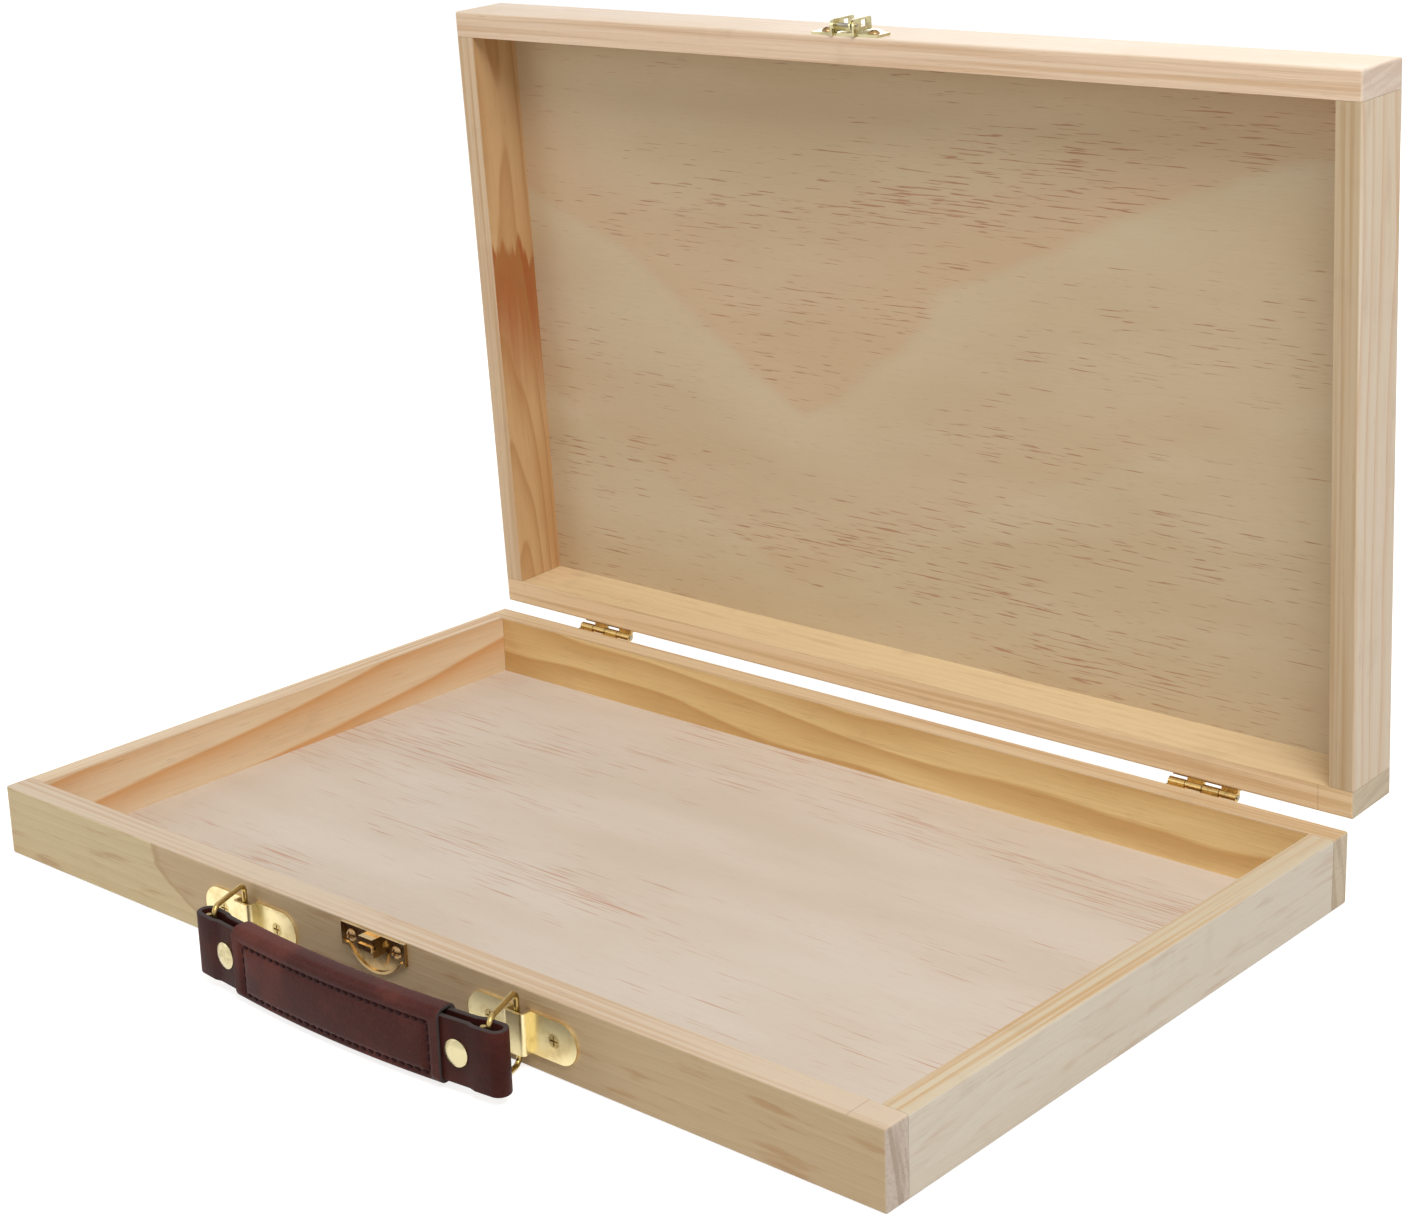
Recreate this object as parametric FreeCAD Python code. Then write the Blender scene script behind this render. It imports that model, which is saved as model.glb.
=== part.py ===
import FreeCAD, Part
import math
import os

from FreeCAD import Vector

# A shallow pine box with a hinged lid, a leather handle and a small brass clasp.
# Millimetres. X runs along the front, the front faces -Y, Z is up and Z = 0 is the underside.

# Boards and panels
box_length = 380.0
box_depth = 237.0
base_height = 24.6
lid_height = 24.4
long_wall = 9.4
side_wall = 8.6
panel_thickness = 2.4
rebate_depth = 4.5
glue_line = 0.1
edge_ease = 0.8
rim_gap = 0.3
lid_angle = 87.3

# Butt hinges on the rear faces
hinge_inset = 54.5
hinge_width = 25.6
hinge_reach = 12.0
hinge_sheet = 1.0
hinge_axis_offset = 2.6
hinge_corner = 1.5
knuckle_radius = 1.5
knuckle_count = 4
knuckle_gap = 0.25
knuckle_relief = 0.4
hinge_pin_radius = 0.7
hinge_pin_overhang = 0.4
hinge_screw_spacing = 14.0
hinge_screw_reach = 7.2

# Handle brackets on the front face of the base
bracket_spacing = 120.0
bracket_length = 43.5
bracket_height = 13.0
bracket_level = 12.0
bracket_sheet = 0.9
bracket_screw_spacing = 25.6
tunnel_width = 8.0
tunnel_rise = 4.4
tunnel_round = 1.6

# Wire rings that turn in the brackets
wire_radius = 0.85
wire_play = 0.3
wire_bend = 2.6
wire_ends_gap = 0.16
ring_reach = 18.4
ring_swing = 19.0
ring_level = 13.0
ring_slack = 0.5
ring_stub = 9.0
ring_end_drop = 2.2

# Leather handle
strap_width = 20.0
strap_overhang = 6.5
strap_leather = 1.7
strap_slip = 1.0
strap_bow = 5.5
strap_tail = 20.0
loop_space = 3.8
fold_space = 2.4
flare_length = 2.4
sleeve_setback = 15.5
sleeve_leather = 1.2
sleeve_ease = 0.2
sleeve_edge_gap = 0.4
core_margin = 2.0
core_width = 19.0
core_ease = 0.1
rivet_setback = 9.7
rivet_cap_radius = 4.2
rivet_cap_rise = 1.5
rivet_cap_rim = 0.4
rivet_post_radius = 1.4

# Clasp: catch on the base, latch on the lid
clasp_shift = -1.8
shield_width = 28.0
shield_flat = 2.0
shield_bowl = 13.5
shield_side = 7.2
shield_drop = 5.8
catch_top_gap = 0.6
catch_sheet = 0.8
catch_rim = 0.5
catch_rim_width = 0.9
boss_radius = 6.4
boss_rise = 0.5
boss_depth = 5.0
nose_width = 6.0
nose_reach = 4.1
nose_top = 0.6
nose_height = 6.0
nose_taper = 0.4
dimple_radius = 0.9
dimple_rise = 0.2
latch_sheet = 0.9
latch_rim_gap = 0.5
ear_sheet = 0.9
ear_radius = 1.5
ear_gap = 0.25
flap_axis_offset = 3.7
flap_axis_height = 0.9
flap_length = 9.6
flap_sheet = 0.7
flap_side_gap = 0.3
flap_wall_gap = 1.7
flap_plate_gap = 0.3
flap_web_start = 2.2
flap_hole_width = 2.2
flap_hole_length = 3.0
flap_hole_start = 4.0
flap_end_round = 1.0
flap_pin_radius = 0.6
flap_pin_overhang = 0.4
clasp_screw_spacing = 20.0
clasp_screw_inset = 3.7

# Wood screws
countersunk_radius = 2.1
pan_radius = 2.1
pan_rise = 1.2
shank_radius = 1.0
short_screw = 7.0
screw_tip = 1.8
recess_width = 0.55
recess_depth = 0.6
recess_margin = 0.6

# Clearances
pin_clearance = 0.04
screw_clearance = 0.06
cut_margin = 1.0
same_place = 0.01

# Places that follow from the sizes above
half_length = box_length / 2
front_y = -box_depth / 2
rear_y = box_depth / 2
lid_rim = base_height + rim_gap
hinge_x = half_length - hinge_inset
hinge_y = rear_y + hinge_axis_offset
hinge_z = base_height + rim_gap / 2
swing = math.radians(ring_swing)
pivot_y = front_y - (tunnel_rise - bracket_sheet - wire_radius - wire_play)
ring_half = strap_width / 2 + ring_slack + wire_radius
strap_x = ring_reach * math.sin(swing) + strap_slip
loop_y = pivot_y - ring_reach * math.cos(swing)
bow = math.radians(strap_bow)
fold_half = fold_space / 2 + strap_leather
loop_half = loop_space / 2 + strap_leather
ring_x = bracket_spacing / 2
strap_half = ring_x + strap_overhang
sleeve_half = ring_x - sleeve_setback
rivet_reach = ring_x - rivet_setback
bend_half = sleeve_half - core_margin
bend_radius = bend_half / bow
strap_y = loop_y - bend_radius * (1 - math.cos(bow)) - (ring_x - bend_half) * math.sin(bow)
catch_top = base_height - catch_top_gap
latch_bottom = lid_rim + latch_rim_gap
flap_y = front_y - flap_axis_offset
flap_z = lid_rim + flap_axis_height
cheek_inner = nose_width / 2 + flap_side_gap
cheek_outer = cheek_inner + flap_sheet
ear_inner = cheek_outer + ear_gap
ear_outer = ear_inner + ear_sheet
flap_face = 2 * flap_axis_offset - latch_sheet - flap_plate_gap
hole_y = front_y - (flap_face - flap_sheet + flap_wall_gap) / 2
hole_z = flap_z - flap_hole_start - flap_hole_length / 2

x_axis = Vector(1, 0, 0)
y_axis = Vector(0, 1, 0)
z_axis = Vector(0, 0, 1)
outward_front = Vector(0, -1, 0)
outward_rear = Vector(0, 1, 0)


# Box between two corners given as ranges, in any order
def block(x_range, y_range, z_range):
    low = Vector(min(x_range), min(y_range), min(z_range))
    high = Vector(max(x_range), max(y_range), max(z_range))
    size = high - low
    return Part.makeBox(size.x, size.y, size.z, low)


# Cylinder along X
def rod(radius, x_range, y, z):
    start = Vector(min(x_range), y, z)
    return Part.makeCylinder(radius, abs(x_range[1] - x_range[0]), start, x_axis)


# Closed wire through points, with each corner rounded by its own radius
def rounded_loop(points, radii):
    count = len(points)
    ends = []
    for i in range(count):
        corner = points[i]
        back = (points[i - 1] - corner).normalize()
        ahead = (points[(i + 1) % count] - corner).normalize()
        half_turn = back.getAngle(ahead) / 2
        trim = radii[i] / math.tan(half_turn)
        bisector = (back + ahead).normalize()
        middle = corner + bisector * (radii[i] / math.sin(half_turn) - radii[i])
        ends.append((corner + back * trim, middle, corner + ahead * trim))
    edges = []
    for i in range(count):
        first, middle, last = ends[i]
        if radii[i] > 0:
            edges.append(Part.Arc(first, middle, last).toShape())
        edges.append(Part.LineSegment(last, ends[(i + 1) % count][0]).toShape())
    return Part.Wire(edges)


# Open path of straight runs joined by tangent arcs of one radius
def rounded_path(points, radius):
    edges = []
    start = points[0]
    for i in range(1, len(points) - 1):
        corner = points[i]
        back = (points[i - 1] - corner).normalize()
        ahead = (points[i + 1] - corner).normalize()
        half_turn = back.getAngle(ahead) / 2
        trim = radius / math.tan(half_turn)
        bisector = (back + ahead).normalize()
        middle = corner + bisector * (radius / math.sin(half_turn) - radius)
        first = corner + back * trim
        last = corner + ahead * trim
        edges.append(Part.LineSegment(start, first).toShape())
        edges.append(Part.Arc(first, middle, last).toShape())
        start = last
    edges.append(Part.LineSegment(start, points[-1]).toShape())
    return Part.Wire(edges)


# Edges whose middle lies on two of the given planes, each plane an axis and a coordinate
def edges_on(shape, planes):
    found = []
    for edge in shape.Edges:
        middle = edge.CenterOfMass
        place = {"x": middle.x, "y": middle.y, "z": middle.z}
        touched = [axis for axis, value in planes if abs(place[axis] - value) < same_place]
        if len(touched) == 2:
            found.append(edge)
    return found


# Shape made along +Z at the origin, stood on a point so that +Z runs outward
def stand(shape, point, outward):
    placed = shape.copy()
    placed.Placement = FreeCAD.Placement(point, FreeCAD.Rotation(z_axis, outward))
    return placed


# Closed lid position to the open position
def opened(shape):
    turned = shape.copy()
    turned.rotate(Vector(0, hinge_y, hinge_z), Vector(-1, 0, 0), lid_angle)
    return turned


# Cross recess in a screw head whose crown is at the given height
def cross_recess(head_radius, crown):
    arm = head_radius - recess_margin
    low = crown - recess_depth
    high = crown + cut_margin
    half = recess_width / 2
    first = block((-arm, arm), (-half, half), (low, high))
    second = block((-half, half), (-arm, arm), (low, high))
    return first.fuse(second)


# Screw shank below the seat, with a pointed tip
def shank(length, radius):
    straight = length - screw_tip
    body = Part.makeCylinder(radius, straight, Vector(0, 0, -straight))
    tip = Part.makeCone(0, radius, screw_tip, Vector(0, 0, -length))
    return body.fuse(tip)


# Screw with a flat countersunk head flush with the seat
def countersunk_screw():
    head = Part.makeCone(shank_radius, countersunk_radius, countersunk_radius - shank_radius,
                         Vector(0, 0, shank_radius - countersunk_radius))
    solid = head.fuse(shank(short_screw, shank_radius)).removeSplitter()
    return solid.cut(cross_recess(countersunk_radius, 0))


# Clearance for a countersunk screw through sheet and wood
def countersunk_hole():
    flare = countersunk_radius + screw_clearance
    bore = shank_radius + screw_clearance
    head = Part.makeCone(bore, flare, flare - bore, Vector(0, 0, bore - flare))
    depth = short_screw + screw_clearance
    deep = Part.makeCylinder(bore, depth, Vector(0, 0, -depth))
    mouth = Part.makeCylinder(flare, cut_margin)
    return head.fuse(deep).fuse(mouth)


# Screw with a domed head that stands on the seat
def pan_screw():
    dome_radius = (pan_radius ** 2 + pan_rise ** 2) / (2 * pan_rise)
    ball = Part.makeSphere(dome_radius, Vector(0, 0, pan_rise - dome_radius))
    head = ball.common(Part.makeCylinder(pan_radius, pan_rise))
    solid = head.fuse(shank(short_screw, shank_radius)).removeSplitter()
    return solid.cut(cross_recess(pan_radius, pan_rise))


# Clearance for the shank of a domed screw
def pan_hole():
    bore = shank_radius + screw_clearance
    depth = short_screw + screw_clearance
    return Part.makeCylinder(bore, depth + cut_margin, Vector(0, 0, -depth))


# Copies of one shape stood on several points
def stand_all(shape, points, outward):
    return [stand(shape, point, outward) for point in points]


# Shape with several cutters taken away
def cut_all(shape, cutters):
    result = shape
    for cutter in cutters:
        result = result.cut(cutter)
    return result


# Four boards and a panel, with the panel at the bottom and the rim at the given height
def tray(height):
    side_half = rear_y - long_wall - glue_line
    panel_half_x = half_length - side_wall + rebate_depth
    panel_half_y = rear_y - long_wall + rebate_depth
    pocket = block((-panel_half_x - glue_line, panel_half_x + glue_line),
                   (-panel_half_y - glue_line, panel_half_y + glue_line), (-cut_margin, panel_thickness))
    pieces = {}
    for name, face in (("front", front_y), ("rear", rear_y)):
        inner = face - math.copysign(long_wall, face)
        board = block((-half_length, half_length), (face, inner), (0, height))
        planes = [("x", -half_length), ("x", half_length), ("y", face), ("z", 0), ("z", height)]
        board = board.makeFillet(edge_ease, edges_on(board, planes))
        pieces[name + "_wall"] = board.cut(pocket)
    for name, face in (("left", -half_length), ("right", half_length)):
        inner = face - math.copysign(side_wall, face)
        board = block((face, inner), (-side_half, side_half), (0, height))
        board = board.makeFillet(edge_ease, edges_on(board, [("x", face), ("z", 0), ("z", height)]))
        pieces[name + "_wall"] = board.cut(pocket)
    pieces["panel"] = block((-panel_half_x, panel_half_x), (-panel_half_y, panel_half_y),
                            (0, panel_thickness))
    return pieces


# Hinge leaf below the axis (side -1) or above it (side 1), with every second knuckle from the first
def hinge_leaf(centre_x, side, first):
    left = centre_x - hinge_width / 2
    right = centre_x + hinge_width / 2
    pitch = (hinge_width + knuckle_gap) / knuckle_count
    notch = knuckle_radius + knuckle_relief
    outer_y = rear_y + hinge_sheet
    near_z = hinge_z + side * notch
    far_z = hinge_z + side * hinge_reach
    plate = block((left, right), (rear_y, outer_y), (near_z, far_z))
    far_corners = edges_on(plate, [("x", left), ("x", right), ("z", far_z)])
    leaf = plate.makeFillet(hinge_corner, far_corners)
    for number in range(first, knuckle_count, 2):
        start = left + number * pitch
        span = (start, start + pitch - knuckle_gap)
        start_z = hinge_z + side * knuckle_relief
        web = block(span, (rear_y, outer_y), (start_z, near_z + side * hinge_sheet))
        roll = block(span, (rear_y, hinge_y), (start_z, hinge_z + side * knuckle_radius))
        leaf = leaf.fuse(web).fuse(roll).fuse(rod(knuckle_radius, span, hinge_y, hinge_z))
    bore = rod(hinge_pin_radius + pin_clearance, (left - cut_margin, right + cut_margin), hinge_y, hinge_z)
    return leaf.cut(bore).removeSplitter()


# Seats of a leaf's screws on its outer face
def hinge_screw_points(side):
    points = []
    for centre in (-hinge_x, hinge_x):
        for offset in (-hinge_screw_spacing / 2, hinge_screw_spacing / 2):
            points.append(Vector(centre + offset, rear_y + hinge_sheet, hinge_z + side * hinge_screw_reach))
    return points


# Stadium plate with a raised tunnel across its middle
def bracket(centre_x):
    half = bracket_length / 2
    low = bracket_level - bracket_height / 2
    high = bracket_level + bracket_height / 2
    plate = block((centre_x - half, centre_x + half), (front_y, front_y - bracket_sheet), (low, high))
    ends = edges_on(plate, [("x", centre_x - half), ("x", centre_x + half), ("z", low), ("z", high)])
    plate = plate.makeFillet(bracket_height / 2 - same_place, ends)
    hood = tunnel_block(centre_x, tunnel_width / 2, tunnel_rise, tunnel_round, (low, high))
    space = tunnel_block(centre_x, tunnel_width / 2 - bracket_sheet, tunnel_rise - bracket_sheet,
                         tunnel_round - bracket_sheet, (low - cut_margin, high + cut_margin))
    mouth = block((centre_x - tunnel_width / 2 + bracket_sheet, centre_x + tunnel_width / 2 - bracket_sheet),
                  (front_y + cut_margin, front_y - bracket_sheet), (low - cut_margin, high + cut_margin))
    return plate.fuse(hood).cut(space).cut(mouth).removeSplitter()


# Upright block against the front face, with its two outer upright edges rounded
def tunnel_block(centre_x, half, rise, radius, z_range):
    face = front_y - rise
    solid = block((centre_x - half, centre_x + half), (front_y, face), z_range)
    outer = edges_on(solid, [("x", centre_x - half), ("x", centre_x + half), ("y", face)])
    return solid.makeFillet(radius, outer)


# Seats of the bracket screws on the bracket plates
def bracket_screw_points():
    points = []
    for centre in (-ring_x, ring_x):
        for offset in (-bracket_screw_spacing / 2, bracket_screw_spacing / 2):
            points.append(Vector(centre + offset, front_y - bracket_sheet, bracket_level))
    return points


# Wire ring: one leg stands in the tunnel, and both wire ends lie side by side in the strap's fold
def ring(centre_x):
    out = Vector(math.sin(swing), -math.cos(swing), 0)
    aside = Vector(math.cos(swing), math.sin(swing), 0) * (wire_radius + wire_ends_gap / 2)
    pivot = Vector(centre_x, pivot_y, ring_level)
    far = pivot + out * ring_reach
    up = z_axis * ring_half
    points = [far + aside + up - z_axis * ring_stub, far + aside + up, pivot + up, pivot - up,
              far - aside - up, far - aside + up - z_axis * ring_end_drop]
    path = rounded_path(points, wire_bend)
    start = path.OrderedEdges[0]
    circle = Part.Circle(points[0], start.tangentAt(start.FirstParameter), wire_radius)
    profile = Part.Wire([circle.toShape()])
    return path.makePipeShell([profile], True, False)


# Strap coordinates: x along the strap from its middle, y towards the box. The middle is bent to an arc
# that bows away from the box, and each end runs on straight from it.
def strap_point(x, y):
    return Vector(strap_x + x, strap_y + y, ring_level)


# Shape drawn on the straight strap beyond the bend, turned to follow the end of the arc
def turned_end(shape, side):
    placed = shape.copy()
    straight = strap_point(side * bend_half, 0)
    arc_end = strap_point(side * bend_radius * math.sin(bow), bend_radius * (1 - math.cos(bow)))
    placed.translate(arc_end - straight)
    placed.rotate(arc_end, z_axis, side * strap_bow)
    return placed


# Section in the YZ plane at the middle of the strap, swept along the arc between two distances from there
def bent(section, reach_from, reach_to):
    hub = Vector(strap_x, strap_y + bend_radius, ring_level)
    start = math.degrees(reach_from / bend_radius)
    sweep = math.degrees((reach_to - reach_from) / bend_radius)
    section.rotate(hub, z_axis, start)
    return section.revolve(hub, z_axis, sweep)


# Rectangle in the YZ plane at the middle of the strap
def strap_section(y_range, half_width):
    near, far = y_range
    corners = [(near, -half_width), (far, -half_width), (far, half_width), (near, half_width)]
    points = [strap_point(0, y) + z_axis * z for y, z in corners]
    return Part.Face(Part.makePolygon(points + points[:1]))


# Plan of one folded end, from the sleeve to the rounded end of the fold
def fold_face(side, end, half_fold, half_loop):
    flare_start = rivet_reach + rivet_cap_radius
    flare_end = flare_start + flare_length
    lower = [strap_point(side * bend_half, -half_fold), strap_point(side * flare_start, -half_fold),
             strap_point(side * flare_end, -half_loop), strap_point(side * (end - half_loop), -half_loop)]
    upper = [strap_point(side * bend_half, half_fold), strap_point(side * flare_start, half_fold),
             strap_point(side * flare_end, half_loop), strap_point(side * (end - half_loop), half_loop)]
    edges = []
    for i in range(len(lower) - 1):
        edges.append(Part.LineSegment(lower[i], lower[i + 1]).toShape())
    edges.append(Part.Arc(lower[-1], strap_point(side * end, 0), upper[-1]).toShape())
    for i in range(len(upper) - 1, 0, -1):
        edges.append(Part.LineSegment(upper[i], upper[i - 1]).toShape())
    edges.append(Part.LineSegment(upper[0], lower[0]).toShape())
    return Part.Face(Part.Wire(edges))


# Face drawn at the strap's middle height, drawn out to a width across it
def across_strap(face, width):
    solid = face.extrude(z_axis * width)
    solid.translate(z_axis * (-width / 2))
    return solid


# One leather strap: a front layer, a fold round each ring and two tails behind
def strap():
    half_width = strap_width / 2
    solid = bent(strap_section((-fold_half, strap_leather - fold_half), half_width), -bend_half, bend_half)
    for side in (-1, 1):
        outside = fold_face(side, strap_half, fold_half, loop_half)
        inside = fold_face(side, strap_half - strap_leather, fold_half - strap_leather,
                           loop_half - strap_leather)
        fold = across_strap(outside, strap_width).cut(across_strap(inside, strap_width + cut_margin))
        hole = stand(Part.makeCylinder(rivet_post_radius + screw_clearance, 2 * loop_half,
                                       Vector(0, 0, -loop_half)), strap_point(side * rivet_reach, 0), y_axis)
        reaches = sorted((side * bend_half, side * (bend_half - strap_tail)))
        tail = bent(strap_section((fold_half - strap_leather, fold_half), half_width), reaches[0], reaches[1])
        solid = solid.fuse(turned_end(fold.cut(hole), side)).fuse(tail)
    return solid.removeSplitter()


# Filler between the two layers inside the sleeve
def grip_core():
    thick = fold_half - strap_leather - core_ease
    return bent(strap_section((-thick, thick), core_width / 2), core_ease - bend_half, bend_half - core_ease)


# Tube of soft leather round the strap, open at both ends
def grip_sleeve():
    solids = []
    inner_corner = sleeve_ease + sleeve_edge_gap
    for skin in (sleeve_leather, 0):
        half_y = fold_half + sleeve_ease + skin
        half_z = strap_width / 2 + sleeve_edge_gap + skin
        corners = [(-half_y, -half_z), (half_y, -half_z), (half_y, half_z), (-half_y, half_z)]
        points = [strap_point(0, y) + z_axis * z for y, z in corners]
        face = Part.Face(rounded_loop(points, [inner_corner + skin] * len(points)))
        solids.append(bent(face, -sleeve_half, sleeve_half))
    return solids[0].cut(solids[1])


# Rivet with a domed cap on both sides of the strap
def rivet(side):
    dome_rise = rivet_cap_rise - rivet_cap_rim
    dome_radius = (rivet_cap_radius ** 2 + dome_rise ** 2) / (2 * dome_rise)
    crown = rivet_cap_rise
    ball = Part.makeSphere(dome_radius, Vector(0, 0, crown - dome_radius))
    cap = ball.common(Part.makeCylinder(rivet_cap_radius, rivet_cap_rise))
    post = Part.makeCylinder(rivet_post_radius, fold_half, Vector(0, 0, -fold_half))
    half = cap.fuse(post)
    front = stand(half, strap_point(side * rivet_reach, -fold_half), outward_front)
    back = stand(half, strap_point(side * rivet_reach, fold_half), outward_rear)
    return turned_end(front.fuse(back).removeSplitter(), side)


# Shield outline: a straight edge, two straight sides, a flat shoulder on each side and a round bowl
# joined by small coves; d runs from the straight edge
def shield_face(edge_z, direction, inset, y):
    half = shield_width / 2
    cove_x = half - shield_flat
    cove = (cove_x ** 2 + shield_drop ** 2) / (2 * shield_drop) - shield_bowl
    cove_d = shield_side + cove
    bowl_d = shield_side + shield_drop - shield_bowl
    lean = math.atan2(cove_x, cove_d - bowl_d)
    cove_radius = cove + inset
    bowl_radius = shield_bowl - inset

    def at(x, d):
        return Vector(clasp_shift + x, y, edge_z + direction * d)

    def on_cove(angle, sign):
        return at(sign * (cove_x - cove_radius * math.sin(angle)), cove_d - cove_radius * math.cos(angle))

    def on_bowl(angle, sign):
        return at(sign * bowl_radius * math.sin(angle), bowl_d + bowl_radius * math.cos(angle))

    left_top = at(inset - half, inset)
    right_top = at(half - inset, inset)
    left_corner = at(inset - half, shield_side - inset)
    right_corner = at(half - inset, shield_side - inset)
    edges = [Part.LineSegment(left_top, right_top).toShape(),
             Part.LineSegment(right_top, right_corner).toShape(),
             Part.LineSegment(right_corner, on_cove(0, 1)).toShape(),
             Part.Arc(on_cove(0, 1), on_cove(lean / 2, 1), on_bowl(lean, 1)).toShape(),
             Part.Arc(on_bowl(lean, 1), on_bowl(0, 1), on_bowl(lean, -1)).toShape(),
             Part.Arc(on_bowl(lean, -1), on_cove(lean / 2, -1), on_cove(0, -1)).toShape(),
             Part.LineSegment(on_cove(0, -1), left_corner).toShape(),
             Part.LineSegment(left_corner, left_top).toShape()]
    return Part.Face(Part.Wire(edges))


# Seats of the two screws of a clasp half, measured from its straight edge
def clasp_screw_points(edge_z, direction, depth):
    z = edge_z + direction * clasp_screw_inset
    return [Vector(clasp_shift + offset, front_y - depth, z)
            for offset in (-clasp_screw_spacing / 2, clasp_screw_spacing / 2)]


# Range of X that reaches equally far to both sides of the clasp's middle
def across_clasp(reach):
    return (clasp_shift - reach, clasp_shift + reach)


# Profile in the YZ plane, given by outward distances from the front face and heights
def side_profile(pairs, x):
    points = [Vector(x, front_y - out, z) for out, z in pairs]
    return Part.Face(Part.makePolygon(points + points[:1]))


# Catch: dished shield plate with a raised boss and a nose that the flap covers
def catch():
    full = catch_sheet + catch_rim
    plate = shield_face(catch_top, -1, 0, front_y).extrude(outward_front * full)
    dish = shield_face(catch_top, -1, catch_rim_width, front_y - catch_sheet)
    dish = dish.extrude(outward_front * (catch_rim + cut_margin))
    boss = Part.makeCylinder(boss_radius, catch_sheet + boss_rise,
                             Vector(clasp_shift, front_y, catch_top - boss_depth), outward_front)
    inside = shield_face(catch_top, -1, catch_rim_width, front_y)
    boss = boss.common(inside.extrude(outward_front * full))
    top = catch_top - nose_top
    bottom = top - nose_height
    pairs = [(0, top), (nose_reach, top), (nose_reach - nose_taper, bottom), (0, bottom)]
    nose = side_profile(pairs, across_clasp(nose_width / 2)[0]).extrude(x_axis * nose_width)
    ball_radius = (dimple_radius ** 2 + dimple_rise ** 2) / (2 * dimple_rise)
    solid = plate.cut(dish).fuse(boss).fuse(nose)
    for side in (-1, 1):
        centre = clasp_shift + side * (nose_width / 2 + dimple_rise - ball_radius)
        ball = Part.makeSphere(ball_radius, Vector(centre, hole_y, hole_z))
        keep = block((clasp_shift, clasp_shift + side * nose_width),
                     (hole_y - dimple_radius, hole_y + dimple_radius),
                     (hole_z - dimple_radius, hole_z + dimple_radius))
        solid = solid.fuse(ball.common(keep))
    return solid.removeSplitter()


# Latch plate on the closed lid, with two ears that carry the flap's pin
def latch():
    solid = shield_face(latch_bottom, 1, 0, front_y).extrude(outward_front * latch_sheet)
    for side in (-1, 1):
        span = (clasp_shift + side * ear_inner, clasp_shift + side * ear_outer)
        arm = block(span, (front_y, flap_y), (flap_z - ear_radius, flap_z + ear_radius))
        solid = solid.fuse(arm).fuse(rod(ear_radius, span, flap_y, flap_z))
    bore = rod(flap_pin_radius + pin_clearance, across_clasp(ear_outer + cut_margin), flap_y, flap_z)
    return solid.cut(bore).removeSplitter()


# Flap hanging over the catch of a closed box: a web and two pierced cheeks
def flap():
    low = flap_z - flap_length
    web_y = (front_y - flap_face, front_y - flap_face + flap_sheet)
    solid = block(across_clasp(cheek_outer), web_y, (low, flap_z - flap_web_start))
    head_radius = flap_axis_offset - flap_wall_gap
    for side in (-1, 1):
        span = (clasp_shift + side * cheek_inner, clasp_shift + side * cheek_outer)
        cheek = block(span, (front_y - flap_wall_gap, front_y - flap_face), (low, flap_z))
        corner = edges_on(cheek, [("y", front_y - flap_wall_gap), ("z", low)])
        cheek = cheek.makeFillet(flap_end_round, corner)
        head = rod(head_radius, span, flap_y, flap_z)
        hole = block(span, (hole_y - flap_hole_width / 2, hole_y + flap_hole_width / 2),
                     (hole_z - flap_hole_length / 2, hole_z + flap_hole_length / 2))
        solid = solid.fuse(cheek).fuse(head).cut(hole)
    bore = rod(flap_pin_radius + pin_clearance, across_clasp(cheek_outer), flap_y, flap_z)
    solid = solid.cut(bore).removeSplitter()
    solid.rotate(Vector(0, flap_y, flap_z), Vector(-1, 0, 0), 180)
    return solid


parts = {}

# Base and lid boards, bored for the screws
base = tray(base_height)
lid = {}
for name, piece in tray(lid_height).items():
    turned = piece.mirror(Vector(0, 0, 0), z_axis)
    turned.translate(z_axis * (lid_rim + lid_height))
    lid[name] = turned

bracket_seats = bracket_screw_points()
catch_seats = clasp_screw_points(catch_top, -1, catch_sheet)
latch_seats = clasp_screw_points(latch_bottom, 1, latch_sheet)
base_hinge_seats = hinge_screw_points(-1)
lid_hinge_seats = hinge_screw_points(1)

sunk_hole = countersunk_hole()
round_hole = pan_hole()
bracket_holes = stand_all(sunk_hole, bracket_seats, outward_front)
catch_holes = stand_all(round_hole, catch_seats, outward_front)
latch_holes = stand_all(round_hole, latch_seats, outward_front)
base_hinge_holes = stand_all(sunk_hole, base_hinge_seats, outward_rear)
lid_hinge_holes = stand_all(sunk_hole, lid_hinge_seats, outward_rear)

base["front_wall"] = cut_all(base["front_wall"], bracket_holes + catch_holes)
base["rear_wall"] = cut_all(base["rear_wall"], base_hinge_holes)
lid["front_wall"] = cut_all(lid["front_wall"], latch_holes)
lid["rear_wall"] = cut_all(lid["rear_wall"], lid_hinge_holes)

for name, piece in base.items():
    parts["base_bottom_panel" if name == "panel" else "base_" + name] = piece
for name, piece in lid.items():
    parts["lid_top_panel" if name == "panel" else "lid_" + name] = opened(piece)

# Hinges
for name, centre in (("left", -hinge_x), ("right", hinge_x)):
    parts["hinge_" + name + "_base_leaf"] = cut_all(hinge_leaf(centre, -1, 0), base_hinge_holes)
    parts["hinge_" + name + "_lid_leaf"] = opened(cut_all(hinge_leaf(centre, 1, 1), lid_hinge_holes))
    pin_half = hinge_width / 2 + hinge_pin_overhang
    pin_span = (centre - pin_half, centre + pin_half)
    parts["hinge_" + name + "_pin"] = rod(hinge_pin_radius, pin_span, hinge_y, hinge_z)
sunk_screw = countersunk_screw()
parts["hinge_base_screws"] = Part.makeCompound(stand_all(sunk_screw, base_hinge_seats, outward_rear))
parts["hinge_lid_screws"] = opened(Part.makeCompound(stand_all(sunk_screw, lid_hinge_seats, outward_rear)))

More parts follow.
